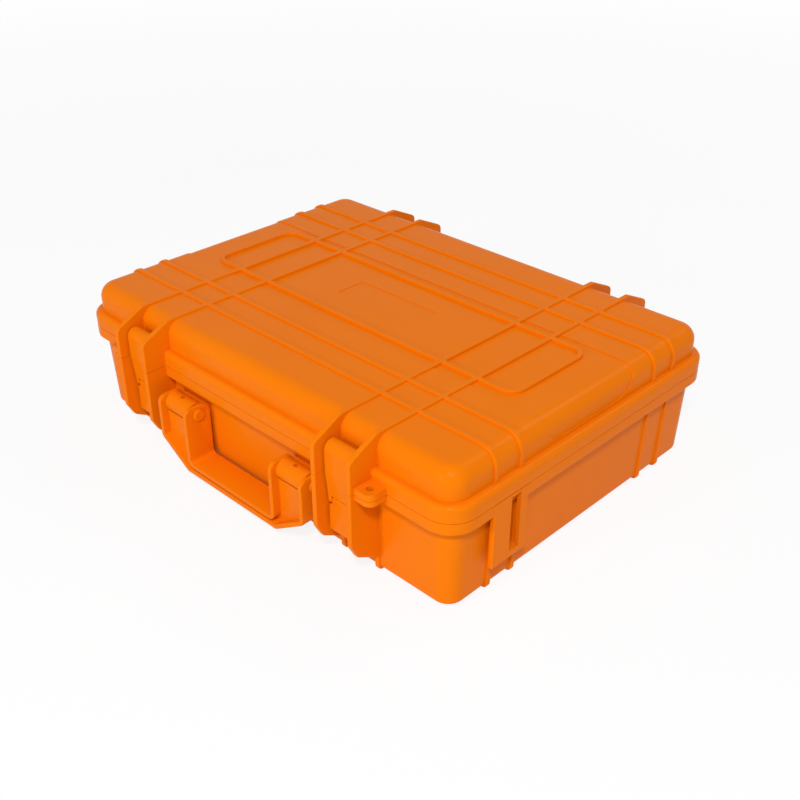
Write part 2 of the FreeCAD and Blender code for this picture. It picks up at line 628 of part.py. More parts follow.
def lever_pin_rod(radius):
    """Rod through the lever, from ear to ear."""
    reach = LATCH_WIDTH / 2 - LEVER_PIN_SHORT
    return rod_x(radius, CHEEK_CENTRE - reach, CHEEK_CENTRE + reach, LEVER_PIVOT_Y, LEVER_PIVOT_Z)


def make_latch_lever():
    """Right latch lever: barrel, hook behind the keeper lip and pull tab."""
    half = LATCH_WIDTH / 2
    neck = half - LATCH_SIDE - LEVER_CLEARANCE
    low, high = CHEEK_CENTRE - neck, CHEEK_CENTRE + neck
    front = LEVER_PIVOT_Y - LEVER_BARREL_RADIUS
    barrel = rod_x(LEVER_BARREL_RADIUS, low, high, LEVER_PIVOT_Y, LEVER_PIVOT_Z)
    tab_top = LEVER_PIVOT_Z - LEVER_TAB_TOP
    link = box((low, front, tab_top - LEVER_THICKNESS), (high, front + LEVER_THICKNESS, LEVER_PIVOT_Z))
    tab = box((CHEEK_CENTRE - half, front, LEVER_PIVOT_Z - LEVER_LENGTH),
              (CHEEK_CENTRE + half, front + LEVER_THICKNESS, tab_top))
    hook_front = -RIM_Y + LIP_WIDTH + HOOK_CLEARANCE
    hook_top = BASE_RIM_LOW - HOOK_LIFT_CLEARANCE
    under_lip = BASE_RIM_LOW - LIP_HEIGHT - LIP_CLEARANCE
    corners = [(LEVER_PIVOT_Y, LEVER_PIVOT_Z + HOOK_ROOT_RISE, 0),
               (-RIM_Y - LIP_CLEARANCE, under_lip - HOOK_SLOPE, 0),
               (-RIM_Y + LIP_WIDTH, under_lip, 0), (hook_front, under_lip, 0),
               (hook_front, hook_top, 0), (hook_front + HOOK_WIDTH, hook_top, 0),
               (hook_front + HOOK_WIDTH, under_lip - LIP_HEIGHT, 0),
               (LEVER_PIVOT_Y + HOOK_ROOT_DROP, LEVER_PIVOT_Z - HOOK_ROOT_DROP, 0)]
    hook = plate_x(corners, low, high)
    lever = barrel.fuse([link, tab, hook]).removeSplitter()
    bore = rod_x(LEVER_PIN_RADIUS + RUNNING_FIT, low, high, LEVER_PIVOT_Y, LEVER_PIVOT_Z)
    return lever.cut(bore)


# Handle -------------------------------------------------------------------------------

def inset(corners, distance):
    """Corners of a loop moved inwards by distance, or outwards where distance is negative."""
    points = [V(a, b, 0) for a, b, radius in corners]
    middle = sum(points, V(0, 0, 0)) * (1.0 / len(points))
    moved = []
    for index, (a, b, radius) in enumerate(corners):
        back = (points[index - 1] - points[index]).normalize()
        ahead = (points[(index + 1) % len(points)] - points[index]).normalize()
        half_angle = back.getAngle(ahead) / 2
        inward = (back + ahead).normalize()
        if inward.dot(middle - points[index]) < 0:
            inward = inward * -1
        point = points[index] + inward * (distance / math.sin(half_angle))
        moved.append((point.x, point.y, max(radius - distance, 0)))
    return moved


def make_carry_handle():
    """Channel-shaped handle: outer and inner plates, set-back web and grip."""
    above = HANDLE_TOP + 2 * HANDLE_PLATE
    outer = [(-HANDLE_HALF_WIDTH, above, 0), (-HANDLE_HALF_WIDTH, HANDLE_KNEE, HANDLE_CORNER),
             (-HANDLE_FLAT, HANDLE_BOTTOM, HANDLE_CORNER), (HANDLE_FLAT, HANDLE_BOTTOM, HANDLE_CORNER),
             (HANDLE_HALF_WIDTH, HANDLE_KNEE, HANDLE_CORNER), (HANDLE_HALF_WIDTH, above, 0)]
    inner = [(-HANDLE_INNER, above + HANDLE_PLATE, 0), (-HANDLE_INNER, GRIP_TOP, HANDLE_PLATE),
             (HANDLE_INNER, GRIP_TOP, HANDLE_PLATE), (HANDLE_INNER, above + HANDLE_PLATE, 0)]
    frame = plate_y(outer, HANDLE_FRONT, HANDLE_REAR).cut(plate_y(inner, HANDLE_FRONT, HANDLE_REAR))
    side = [(HANDLE_FRONT, 0, 0), (HANDLE_REAR, 0, 0), (HANDLE_REAR, HANDLE_TOP, PLATE_REAR_RADIUS),
            (HANDLE_FRONT, HANDLE_TOP, PLATE_FRONT_RADIUS)]
    frame = frame.common(plate_x(side, -HANDLE_HALF_WIDTH, HANDLE_HALF_WIDTH))
    outer_inset = inset(outer, HANDLE_PLATE)
    inner_grown = inset(inner, -HANDLE_PLATE)
    web_front = HANDLE_FRONT + WEB_SETBACK
    web_rear = web_front + WEB_THICKNESS
    for near, far in ((HANDLE_FRONT - CUT_SPARE, web_front), (web_rear, HANDLE_REAR + CUT_SPARE)):
        frame = frame.cut(plate_y(outer_inset, near, far).cut(plate_y(inner_grown, near, far)))
    low = HANDLE_INNER + HANDLE_PLATE
    high = HANDLE_HALF_WIDTH - HANDLE_PLATE
    clear = KNUCKLE_RADIUS + KNUCKLE_CLEARANCE
    space = rod_x(clear, low, high, HANDLE_PIVOT_Y, HANDLE_PIVOT_HEIGHT)
    above_space = box((low, HANDLE_FRONT - CUT_SPARE, HANDLE_PIVOT_HEIGHT),
                      (high, HANDLE_REAR + CUT_SPARE, above))
    bore = rod_x(HANDLE_PIN_RADIUS, HANDLE_INNER - CUT_SPARE, HANDLE_HALF_WIDTH + CUT_SPARE,
                 HANDLE_PIVOT_Y, HANDLE_PIVOT_HEIGHT)
    cutters = both_sides(space) + both_sides(above_space) + both_sides(bore)
    return frame.cut(cutters)


def make_handle_pin(low):
    """Pin across one handle arm that starts at X = low, with its round head on the right."""
    high = low + HANDLE_ARM
    shank = rod_x(HANDLE_PIN_RADIUS, low, high, HANDLE_PIVOT_Y, HANDLE_PIVOT_HEIGHT)
    head = rod_x(HANDLE_PIN_HEAD_RADIUS, high, high + HANDLE_PIN_HEAD,
                 HANDLE_PIVOT_Y, HANDLE_PIVOT_HEIGHT)
    rim = [e for e in head.Edges if abs(e.BoundBox.XMin - high - HANDLE_PIN_HEAD) < 1e-4]
    return shank.fuse(head.makeFillet(HANDLE_PIN_HEAD_ROUND, rim)).removeSplitter()


# Vent ---------------------------------------------------------------------------------

def make_vent():
    """Vent plug, its seal ring and the nut inside the wall."""
    seal_far = WALL_Y + VENT_SEAL
    nut_near = VENT_INSIDE - VENT_NUT
    shank = vent_rod(VENT_SHANK_RADIUS, nut_near - VENT_SHANK_SPARE, seal_far)
    head = vent_rod(VENT_HEAD_RADIUS, seal_far, seal_far + VENT_HEAD)
    plug = shank.fuse(head).removeSplitter()
    seal = vent_rod(VENT_SEAL_RADIUS, WALL_Y, seal_far).cut(vent_rod(VENT_SHANK_RADIUS, WALL_Y, seal_far))
    corner = VENT_NUT_ACROSS / math.sqrt(3)
    hexagon = [(corner * math.cos(math.radians(60 * turn)),
                VENT_HEIGHT + corner * math.sin(math.radians(60 * turn)), 0) for turn in range(6)]
    nut = plate_y(hexagon, nut_near, VENT_INSIDE)
    nut = nut.cut(vent_rod(VENT_SHANK_RADIUS, nut_near, VENT_INSIDE))
    return {"vent_plug": plug, "vent_seal": seal, "vent_nut": nut}


# Foam ---------------------------------------------------------------------------------

def make_base_foam_pad():
    """Flat pad on the floor of the base."""
    pad = leaning(-WALL - FOAM_CLEARANCE, FLOOR, FLOOR + PAD_THICKNESS)
    return rounded_level(pad, FLOOR, BASE_EDGE_RADIUS - WALL)


def make_base_foam_tray():
    """Foam block with two wells of whole cells, notched round the vent nut."""
    low = FLOOR + PAD_THICKNESS
    tray = leaning(-WALL - FOAM_CLEARANCE, low, TRAY_TOP)
    wells = [box((left, -WELL_Y, low - CUT_SPARE), (right, WELL_Y, TRAY_TOP + CUT_SPARE))
             for left, right in (MAIN_WELL, SIDE_WELL)]
    reach = VENT_BOSS_RADIUS + FOAM_CLEARANCE
    depth = VENT_NUT + VENT_SHANK_SPARE + VENT_FOAM_CLEARANCE
    notch = box((-reach, VENT_INSIDE - depth, VENT_HEIGHT - reach),
                (reach, WALL_Y, TRAY_TOP + CUT_SPARE))
    return tray.cut(wells + [notch])


def make_lid_foam():
    """Pad under the lid's ceiling."""
    pad = grown(-WALL - FOAM_CLEARANCE, CEILING - LID_FOAM_THICKNESS, CEILING)
    return rounded_level(pad, CEILING, CROWN_RADIUS - WALL)


def make_nodes():
    """Every node of the case by name."""
    base_shell = make_base_shell()
    lid_shell = make_lid_shell()
    base_tab = make_padlock_tab(base_shell, BASE_HIGH - BASE_TAB_THICKNESS, BASE_HIGH)
    lid_tab = make_padlock_tab(lid_shell, LID_LOW, LID_LOW + LID_TAB_THICKNESS)
    latch_body = make_latch_body()
    latch_lever = make_latch_lever()
    latch_pin = latch_pin_cutter(LATCH_PIN_RADIUS)
    lever_pin = lever_pin_rod(LEVER_PIN_RADIUS)
    hinge_pin = hinge_pin_rod(HINGE_PIN_RADIUS)
    nodes = {
        "base_shell": base_shell,
        "lid_shell": lid_shell,
        "lid_seal": make_lid_seal(),
        "carry_handle": make_carry_handle(),
        "handle_pin_left": make_handle_pin(-HANDLE_HALF_WIDTH),
        "handle_pin_right": make_handle_pin(HANDLE_INNER),
        "base_foam_pad": make_base_foam_pad(),
        "base_foam_tray": make_base_foam_tray(),
        "lid_foam": make_lid_foam(),
    }
    nodes.update(make_vent())
    paired = {"base_padlock_tab": base_tab, "lid_padlock_tab": lid_tab, "latch_body": latch_body,
              "latch_lever": latch_lever, "latch_pivot_pin": latch_pin, "latch_lever_pin": lever_pin,
              "hinge_pin": hinge_pin}
    for name, shape in paired.items():
        nodes[name + "_right"] = shape
        nodes[name + "_left"] = mirror_x(shape)
    return nodes


os.makedirs("parts", exist_ok=True)
for node_name, node_shape in make_nodes().items():
    node_shape.exportStep(os.path.join("parts", node_name + ".step"))
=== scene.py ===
"""Looks of the hard equipment case: finishes, softened mouldings, foam lining, light and camera.

Metres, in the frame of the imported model: +X to the right, +Y to the rear, +Z up, floor at zero.
"""
import json
import math
import bmesh
import bpy
from mathutils import Matrix, Vector


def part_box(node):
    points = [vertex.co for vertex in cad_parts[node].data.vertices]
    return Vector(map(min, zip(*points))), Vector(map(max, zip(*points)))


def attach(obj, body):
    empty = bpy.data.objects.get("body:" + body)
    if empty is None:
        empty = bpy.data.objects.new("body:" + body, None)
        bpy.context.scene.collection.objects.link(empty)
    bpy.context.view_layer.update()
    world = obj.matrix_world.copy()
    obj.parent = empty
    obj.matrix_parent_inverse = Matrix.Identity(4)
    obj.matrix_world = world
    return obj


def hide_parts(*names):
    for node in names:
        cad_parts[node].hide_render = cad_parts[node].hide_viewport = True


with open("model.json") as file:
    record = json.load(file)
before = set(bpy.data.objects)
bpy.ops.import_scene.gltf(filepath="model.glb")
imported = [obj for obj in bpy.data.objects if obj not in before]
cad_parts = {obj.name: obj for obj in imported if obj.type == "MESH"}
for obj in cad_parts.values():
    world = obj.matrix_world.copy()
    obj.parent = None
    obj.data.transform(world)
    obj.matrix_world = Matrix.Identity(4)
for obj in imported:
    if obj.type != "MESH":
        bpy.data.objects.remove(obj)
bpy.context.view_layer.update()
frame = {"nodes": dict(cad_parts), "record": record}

MM = 0.001
SEED = 7

# Driving sizes: the rest comes from the frame
WALL = 3.5 * MM
FOAM_TO_SKIN = 4.0 * MM        # outer skin of the walls to the foam
FOAM_CELL = 15.0 * MM
FOAM_CELLS = (29, 19)          # columns of foam along X and along Y
FOAM_SLIT = 0.35 * MM          # between two foam columns
FOAM_CORNER = 15.0 * MM
FOAM_CROWN = 1.4 * MM          # height of a column's domed top
FOAM_UNEVENNESS = 0.012        # share of a column's height
WAVE_PITCH = 36.0 * MM
WAVE_DEPTH = 12.0 * MM
WAVE_STEP = 4.0 * MM
VENT_SHANK = 7.5 * MM          # radius
VENT_RIDGE = 0.8 * MM          # grip ridges on the vent's head
VENT_RIDGES = 24
VENT_SLOT = (14.0 * MM, 1.6 * MM, 2.4 * MM)    # coin slot: length, depth, width
VENT_CHAMFER = 0.8 * MM
PEBBLE_MARGIN = 0.5 * MM       # how far pebbles reach past the skin of the walls

# Radii of softened edges
MOULDED_EDGE = 0.5 * MM
SEAL_EDGE = 1.0 * MM
PAD_EDGE = 1.5 * MM
TRAY_EDGE = 1.2 * MM
VENT_EDGE = 0.25 * MM

# Mesh tolerances
WELD = 0.002 * MM              # corners closer than this are one
SAME_LEVEL = 0.01 * MM
ON_PLANE = 0.001 * MM
FLAT_ANGLE = math.radians(0.6)
SHARP_ANGLE = math.radians(38)

BODIES = frame["record"]["behaviour"]["bodies"]
BODY_OF = {node: body for body, nodes in BODIES.items() for node in nodes}
ROOMS = {room["name"]: room["box_m"] for room in frame["record"]["physics"]["openings"]}


# Node graphs --------------------------------------------------------------------------

class Signal:
    """A node's output socket that can be used in sums."""

    def __init__(self, graph, socket):
        self.graph = graph
        self.socket = socket

    def out(self, name):
        """Another output of the same node."""
        return Signal(self.graph, self.socket.node.outputs[name])

    def _math(self, operation, first, second):
        return self.graph.node("ShaderNodeMath", {"operation": operation}, {0: first, 1: second})

    def __add__(self, other):
        return self._math("ADD", self, other)

    def __radd__(self, other):
        return self._math("ADD", other, self)

    def __sub__(self, other):
        return self._math("SUBTRACT", self, other)

    def __rsub__(self, other):
        return self._math("SUBTRACT", other, self)

    def __mul__(self, other):
        return self._math("MULTIPLY", self, other)

    def __rmul__(self, other):
        return self._math("MULTIPLY", other, self)

    def __rtruediv__(self, other):
        return self._math("DIVIDE", other, self)

    def __lt__(self, other):
        return self._math("LESS_THAN", self, other)

    def __abs__(self):
        return self.graph.node("ShaderNodeMath", {"operation": "ABSOLUTE"}, {0: self})

    def cosine(self):
        return self.graph.node("ShaderNodeMath", {"operation": "COSINE"}, {0: self})

    def larger(self, other):
        return self._math("MAXIMUM", self, other)


class Graph:
    """A node tree that is written as expressions."""

    def __init__(self, tree):
        self.tree = tree
        self.tree.nodes.clear()

    def node(self, kind, settings=None, inputs=None):
        """Add a node: its settings first, then the values or links of its sockets."""
        made = self.tree.nodes.new(kind)
        for name, value in (settings or {}).items():
            setattr(made, name, value)
        for name, value in (inputs or {}).items():
            socket = made.inputs[name]
            for part in value if isinstance(value, list) else [value]:
                if isinstance(part, Signal):
                    self.tree.links.new(part.socket, socket)
                else:
                    socket.default_value = part
        return Signal(self, made.outputs[0]) if len(made.outputs) else made


def new_material(name):
    """An empty node material and its graph."""
    material = bpy.data.materials.new(name)
    material.use_nodes = True
    return material, Graph(material.node_tree)


def rgb(red, green, blue):
    return (red, green, blue, 1.0)


# Finishes -----------------------------------------------------------------------------

ORANGE = (0.84, 0.192, 0.002)
ORANGE_DEEP = (0.78, 0.160, 0.001)
ORANGE_ROUGHNESS = 0.21
GRAIN_DEPTH = 0.13 * MM
FINE_DEPTH = 0.03 * MM         # grain of rubber and nylon
PORE_DEPTH = 0.5 * MM
SCRATCH_DEPTH = 0.01 * MM
PEBBLES = 900.0                # noise scales, per metre
FINE_GRAIN = 2600.0
COLOUR_CLOUDS = 14.0
GLOSS_CLOUDS = 45.0


def object_place(graph):
    return graph.node("ShaderNodeTexCoord").out("Object")


def noise(graph, place, scale, detail=2.0, roughness=0.5):
    return graph.node("ShaderNodeTexNoise", None,
                      {"Vector": place, "Scale": scale, "Detail": detail, "Roughness": roughness})


def blended(graph, amount, first, second):
    """Colour between two colours."""
    mixed = graph.node("ShaderNodeMix", {"data_type": "RGBA"}, {"Factor": amount, 6: first, 7: second})
    return mixed.out(2)


def bump(graph, height, distance):
    return graph.node("ShaderNodeBump", None, {"Strength": 1.0, "Distance": distance, "Height": height})


def surface(graph, inputs):
    """Principled surface with its output."""
    shader = graph.node("ShaderNodeBsdfPrincipled", None, inputs)
    graph.node("ShaderNodeOutputMaterial", None, {"Surface": shader})


def moulded_orange(name, grain=None):
    """Orange moulded plastic; grain(x, y, z) gives 1 where the surface is pebbled."""
    material, graph = new_material(name)
    place = object_place(graph)
    colour = blended(graph, noise(graph, place, COLOUR_CLOUDS, 3.0) * 0.5,
                     rgb(*ORANGE), rgb(*ORANGE_DEEP))
    height = noise(graph, place, FINE_GRAIN, 1.0) * 0.10
    if grain is not None:
        xyz = graph.node("ShaderNodeSeparateXYZ", None, {0: place})
        mask = grain(xyz.out("X"), xyz.out("Y"), xyz.out("Z"))
        height = height + noise(graph, place, PEBBLES, 1.0, 0.6) * mask
    gloss = ORANGE_ROUGHNESS + 0.06 * (noise(graph, place, GLOSS_CLOUDS, 4.0, 0.6) - 0.5)
    surface(graph, {"Base Color": colour, "Roughness": gloss, "Specular IOR Level": 0.03,
                    "Normal": bump(graph, height, GRAIN_DEPTH)})
    return material


def brushed_steel():
    """Drawn pin wire, scratched along its length."""
    material, graph = new_material("pin_steel")
    place = object_place(graph)
    along = graph.node("ShaderNodeMapping", None, {"Vector": place, "Scale": (40.0, 2400.0, 2400.0)})
    scratches = noise(graph, along, 1.0, 2.0)
    surface(graph, {"Base Color": rgb(0.62, 0.63, 0.65), "Metallic": 1.0,
                    "Roughness": 0.26 + 0.16 * scratches,
                    "Normal": bump(graph, scratches, SCRATCH_DEPTH)})
    return material


def soft_rubber():
    """Matt seal rubber with a dusty bloom."""
    material, graph = new_material("seal_rubber")
    place = object_place(graph)
    colour = blended(graph, noise(graph, place, 60.0, 3.0),
                     rgb(0.018, 0.018, 0.019), rgb(0.038, 0.037, 0.036))
    surface(graph, {"Base Color": colour, "Roughness": 0.62 + 0.15 * noise(graph, place, 300.0),
                    "Specular IOR Level": 0.3,
                    "Normal": bump(graph, noise(graph, place, 1500.0), FINE_DEPTH)})
    return material


def charcoal_foam():
    """Open-cell polyurethane foam: round pores in two sizes, with painted shade at the bottoms of the
    pores.
    """
    material, graph = new_material("foam_charcoal")
    place = object_place(graph)
    pores = graph.node("ShaderNodeTexVoronoi", {"feature": "F1"}, {"Vector": place, "Scale": 900.0})
    coarse = graph.node("ShaderNodeTexVoronoi", {"feature": "F1"}, {"Vector": place, "Scale": 420.0})
    depth = pores + 0.6 * coarse
    # Colour follows the pore depth: the bottoms of the pores are painted darker, which is painted
    # shade.
    colour = blended(graph, depth * 0.6, rgb(0.020, 0.020, 0.022), rgb(0.060, 0.060, 0.064))
    surface(graph, {"Base Color": colour, "Roughness": 0.92, "Specular IOR Level": 0.1,
                    "Normal": bump(graph, depth, PORE_DEPTH)})
    return material


def black_nylon():
    """Moulded nylon of the vent plug and nut."""
    material, graph = new_material("vent_nylon")
    place = object_place(graph)
    colour = blended(graph, noise(graph, place, 90.0, 2.0),
                     rgb(0.030, 0.030, 0.031), rgb(0.050, 0.050, 0.050))
    surface(graph, {"Base Color": colour, "Roughness": 0.42 + 0.12 * noise(graph, place, 500.0),
                    "Specular IOR Level": 0.4,
                    "Normal": bump(graph, noise(graph, place, 1800.0), FINE_DEPTH)})
    return material


def paint(thing, material):
    thing.data.materials.clear()
    thing.data.materials.append(material)


# Mesh helpers -------------------------------------------------------------------------

def new_object(name, mesh):
    made = bpy.data.objects.new(name, mesh)
    bpy.context.scene.collection.objects.link(made)
    return made


def from_solid(name, solid):
    """Object from a bmesh, shaded smooth."""
    mesh = bpy.data.meshes.new(name)
    for face in solid.faces:
        face.smooth = True
    solid.to_mesh(mesh)
    solid.free()
    return new_object(name, mesh)


def bridge(solid, rings):
    """Walls from each ring of points to the next."""
    for ring, following in zip(rings, rings[1:]):
        for index in range(len(ring)):
            ahead = (index + 1) % len(ring)
            solid.faces.new((ring[index], ring[ahead], following[ahead], following[index]))


def merged_solid(node):
    """Merged copy of a CAD node's mesh, with flat faces whole again."""
    solid = bmesh.new()
    solid.from_mesh(frame["nodes"][node].data)
    bmesh.ops.remove_doubles(solid, verts=solid.verts, dist=WELD)
    bmesh.ops.dissolve_limit(solid, angle_limit=FLAT_ANGLE, verts=solid.verts, edges=solid.edges)
    return solid


def finished(thing):
    """The object with its modifiers made into a plain mesh."""
    shown = thing.evaluated_get(bpy.context.evaluated_depsgraph_get())
    mesh = bpy.data.meshes.new_from_object(shown)
    thing.modifiers.clear()
    thing.data = mesh
    return thing


def rounded_edges(thing, radius, steps=3):
    """Round the sharp edges of a mesh."""
    bevel = thing.modifiers.new("edges", "BEVEL")
    bevel.width = radius
    bevel.segments = steps
    bevel.limit_method = "ANGLE"
    bevel.angle_limit = SHARP_ANGLE
    bevel.use_clamp_overlap = False
    bevel.harden_normals = True
    return finished(thing)


def put(piece, material, node):
    """Fasten a piece to the body of the CAD node that it replaces."""
    paint(piece, material)
    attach(piece, BODY_OF[node])
    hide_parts(node)


def softened(node, name, radius, material):
    """A CAD piece with moulded, rounded edges."""
    piece = rounded_edges(from_solid(name, merged_solid(node)), radius)
    put(piece, material, node)
    return piece


# Geometry nodes -----------------------------------------------------------------------

def tree_with(name, sockets):
    """Geometry tree with named inputs: (name, kind) pairs after the geometry."""
    tree = bpy.data.node_groups.new(name, "GeometryNodeTree")
    tree.interface.new_socket("Geometry", in_out="INPUT", socket_type="NodeSocketGeometry")
    for label, kind in sockets:
        tree.interface.new_socket(label, in_out="INPUT", socket_type=kind)
    tree.interface.new_socket("Geometry", in_out="OUTPUT", socket_type="NodeSocketGeometry")
    graph = Graph(tree)
    return graph, graph.node("NodeGroupInput")


def run_tree(thing, graph, values):
    """Apply a geometry tree to an object, with its inputs set by identifier."""
    modifier = thing.modifiers.new(graph.tree.name, "NODES")
    modifier.node_group = graph.tree
    for socket in graph.tree.interface.items_tree:
        if socket.in_out == "INPUT" and socket.name in values:
            modifier[socket.identifier] = values[socket.name]
    return finished(thing)


def joined(graph, first, second):
    return graph.node("GeometryNodeJoinGeometry", None, {"Geometry": [first, second]})


def close_tree(graph, geometry, material):
    """End a tree with real geometry and its material."""
    real = graph.node("GeometryNodeRealizeInstances", None, {"Geometry": geometry})
    painted = graph.node("GeometryNodeSetMaterial", None, {"Geometry": real, "Material": material})
    graph.node("NodeGroupOutput", None, {"Geometry": painted})


# Light, floor and camera --------------------------------------------------------------

CENTRE = Vector((0.0, 0.0, 0.06))
WORLD_LEVEL = 0.36
LAMP_DISTANCE = 2.5
LAMPS = (("front_lamp", -93, 20, 0.25, 0.22),    # name, azimuth, elevation, size, level
         ("upper_lamp", -49, 46, 0.25, 0.53),
         ("rear_lamp", 70, 45, 0.6, 0.12))
FLOOR_HALF = 6.0
FLOOR_WHITE = 0.86             # share of plain white in what the camera sees of the floor
FLOOR_FADE = (0.8, 2.4)        # from and to this distance the floor becomes all white
CAMERA_PLACE = Vector((0.66374, -0.66083, 0.59320))
CAMERA_BACK = Vector((0.59381, -0.60724, 0.52785))    # from what it looks at towards the camera
CAMERA_SENSOR = 36.0
CAMERA_LENS = 49.11
CAMERA_RISE = 0.0156           # vertical shift


def softbox(name, azimuth, elevation, size, level):
    """Square lamp aimed at the case; level is what it adds to a white face turned to it."""
    data = bpy.data.lights.new(name, "AREA")
    data.shape = "SQUARE"
    data.size = size
    data.energy = level * math.pi ** 2 * LAMP_DISTANCE ** 2
    lamp = new_object(name, data)
    turn, rise = math.radians(azimuth), math.radians(elevation)
    towards = Vector((math.cos(turn) * math.cos(rise), math.sin(turn) * math.cos(rise), math.sin(rise)))
    lamp.location = CENTRE + towards * LAMP_DISTANCE
    lamp.rotation_euler = towards.to_track_quat("Z", "Y").to_euler()


def seen_rays(graph):
    """1 for rays that show the background: from the camera, a reflection or through glass."""
    path = graph.node("ShaderNodeLightPath")
    through = path.out("Is Glossy Ray").larger(path.out("Is Transmission Ray"))
    return path.out("Is Camera Ray").larger(through)


def make_world():
    world = bpy.data.worlds.new("studio")
    bpy.context.scene.world = world
    world.use_nodes = True
    graph = Graph(world.node_tree)
    strength = WORLD_LEVEL + (1.0 - WORLD_LEVEL) * seen_rays(graph)
    background = graph.node("ShaderNodeBackground", None,
                            {"Color": rgb(1.0, 1.0, 1.0), "Strength": strength})
    graph.node("ShaderNodeOutputWorld", None, {"Surface": background})


def make_floor():
    corners = [(x * FLOOR_HALF, y * FLOOR_HALF, 0) for x, y in ((-1, -1), (1, -1), (1, 1), (-1, 1))]
    mesh = bpy.data.meshes.new("floor")
    mesh.from_pydata(corners, [], [(0, 1, 2, 3)])
    floor = new_object("floor", mesh)
    material, graph = new_material("white_floor")
    matt = graph.node("ShaderNodeBsdfPrincipled", None,
                      {"Base Color": rgb(0.93, 0.93, 0.93), "Roughness": 0.9,
                       "Specular IOR Level": 0.0})
    white = graph.node("ShaderNodeEmission", None, {"Color": rgb(1.0, 1.0, 1.0), "Strength": 1.0})
    away = graph.node("ShaderNodeVectorMath", {"operation": "LENGTH"}, {0: object_place(graph)})
    share = graph.node("ShaderNodeMapRange", None,
                       {"Value": away.out("Value"), "From Min": FLOOR_FADE[0],
                        "From Max": FLOOR_FADE[1], "To Min": FLOOR_WHITE, "To Max": 1.0})
    shown = graph.node("ShaderNodeMixShader", None,
                       {0: share.out("Result") * seen_rays(graph), 1: matt, 2: white})
    graph.node("ShaderNodeOutputMaterial", None, {"Surface": shown})
    paint(floor, material)


def make_camera():
    data = bpy.data.cameras.new("camera")
    data.sensor_width = CAMERA_SENSOR
    data.lens = CAMERA_LENS
    data.shift_y = CAMERA_RISE
    camera = new_object("camera", data)
    back = CAMERA_BACK.normalized()
    right = Vector((0, 0, 1)).cross(back).normalized()
    up = back.cross(right)
    turn = Matrix((right, up, back)).transposed().to_4x4()
    camera.matrix_world = Matrix.Translation(CAMERA_PLACE) @ turn
    bpy.context.scene.camera = camera


# Foam ---------------------------------------------------------------------------------

def cut_by_planes(solid, axis, low, high, step):
    """Cut a solid by evenly spaced planes across an axis."""
    normal = Vector((0.0, 0.0, 0.0))
    normal[axis] = 1.0
    count = int((high - low) / step)
    for index in range(1, count):
        place = normal * (low + (high - low) * index / count)
        everything = list(solid.verts) + list(solid.edges) + list(solid.faces)
        bmesh.ops.bisect_plane(solid, geom=everything, dist=ON_PLANE, plane_co=place, plane_no=normal)


def wave_tree(material):
    """Tree that lifts the lower face in egg-crate waves."""
    graph, given = tree_with("egg_crate_waves", [("Pitch", "NodeSocketFloat"),
                                                 ("Depth", "NodeSocketFloat"),
                                                 ("Underside", "NodeSocketFloat")])
    xyz = graph.node("ShaderNodeSeparateXYZ", None, {0: graph.node("GeometryNodeInputPosition")})
    turns = 2.0 * math.pi / given.out("Pitch")
    wave = (xyz.out("X") * turns).cosine() * (xyz.out("Y") * turns).cosine()
    rise = given.out("Depth") * (0.5 + 0.5 * wave)
    lower = xyz.out("Z") < given.out("Underside") + SAME_LEVEL
    offset = graph.node("ShaderNodeCombineXYZ", None, {2: rise * lower})
    moved = graph.node("GeometryNodeSetPosition", None,
                       {"Geometry": given.out("Geometry"), "Offset": offset})
    close_tree(graph, moved, material)
    return graph


def make_lid_foam(material):
    """Convoluted pad under the lid's ceiling."""
    low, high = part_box("lid_foam")
    solid = merged_solid("lid_foam")
    cut_by_planes(solid, 0, low[0], high[0], WAVE_STEP)
    cut_by_planes(solid, 1, low[1], high[1], WAVE_STEP)
    pad = from_solid("lid_foam_waves", solid)
    run_tree(pad, wave_tree(material), {"Pitch": WAVE_PITCH, "Depth": WAVE_DEPTH, "Underside": low[2]})
    put(pad, material, "lid_foam")


def rounded_loop(half_x, half_y, corner, steps=6):
    """Points round a rounded rectangle, anticlockwise from its right side."""
    points = []
    for turn, (side_x, side_y) in enumerate(((1, 1), (-1, 1), (-1, -1), (1, -1))):
        for step in range(steps + 1):
            angle = math.radians(90.0 * (turn + step / steps))
            points.append((side_x * (half_x - corner) + corner * math.cos(angle),
                           side_y * (half_y - corner) + corner * math.sin(angle)))
    return points


def reach_at(node, height):
    """Half length and half width of a CAD node's outline at one of its levels."""
    level = [v.co for v in frame["nodes"][node].data.vertices if abs(v.co.z - height) < SAME_LEVEL]
    return max(v.x for v in level), max(v.y for v in level)


def make_tray_border():
    """Foam ring between the walls and the field of columns."""
    low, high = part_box("base_foam_tray")
    solid = bmesh.new()
    rings = []
    for height in (low[2], high[2]):
        half_x, half_y = reach_at("base_foam_tray", height)
        outer = rounded_loop(half_x, half_y, FOAM_CORNER)
        rings.append([solid.verts.new((x, y, height)) for x, y in outer])
    for height in (high[2], low[2]):
        inner = rounded_loop(FOAM_CELLS[0] * FOAM_CELL / 2, FOAM_CELLS[1] * FOAM_CELL / 2, FOAM_SLIT)
        rings.append([solid.verts.new((x, y, height)) for x, y in inner])
    bridge(solid, rings + rings[:1])
    bmesh.ops.recalc_face_normals(solid, faces=solid.faces)
    return rounded_edges(from_solid("base_foam_cells", solid), TRAY_EDGE)


def foam_column(height):
    """One column of the foam, domed a little at its top, standing on its origin."""
    half = (FOAM_CELL - FOAM_SLIT) / 2
    solid = bmesh.new()
    rings = []
    for inset, level in ((0.0, 0.0), (0.0, height - FOAM_CROWN),
                         (0.5 * FOAM_CROWN, height - 0.3 * FOAM_CROWN), (1.6 * FOAM_CROWN, height)):
        reach = half - inset
        rings.append([solid.verts.new((x * reach, y * reach, level))
                      for x, y in ((1, 1), (-1, 1), (-1, -1), (1, -1))])
    bridge(solid, rings)
    solid.faces.new(reversed(rings[0]))
    solid.faces.new(rings[-1])
    return from_solid("foam_column", solid)


